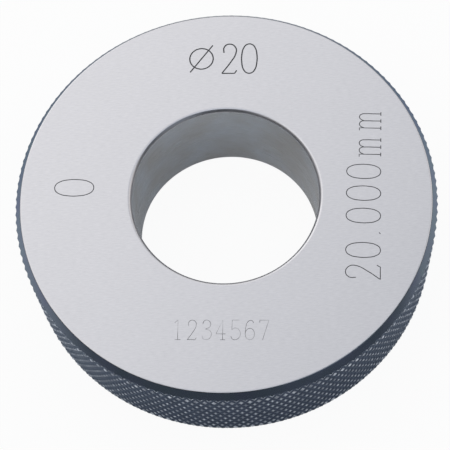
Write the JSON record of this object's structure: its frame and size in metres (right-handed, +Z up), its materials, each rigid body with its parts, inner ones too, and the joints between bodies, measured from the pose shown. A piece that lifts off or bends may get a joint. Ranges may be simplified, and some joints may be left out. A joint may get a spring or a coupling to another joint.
{
  "type": "setting ring",
  "caption": "Steel setting ring for bore gauges, with a lapped bore, ground faces and a knurled rim.",
  "frame": {"origin": "centre of the lower ground face, on the bore's axis", "axes": "+Z up along the bore's axis, from the lower ground face to the marked one; -Y towards the viewer of the picture"},
  "size_m": [0.0452, 0.0452, 0.012],
  "materials": {
    "gauge_steel": "ground bright on both faces, lapped in the bore, blued on the knurled rim and its chamfers"
  },
  "bodies": {
    "root": {"setting_ring": "gauge_steel"}
  },
  "joints": []
}
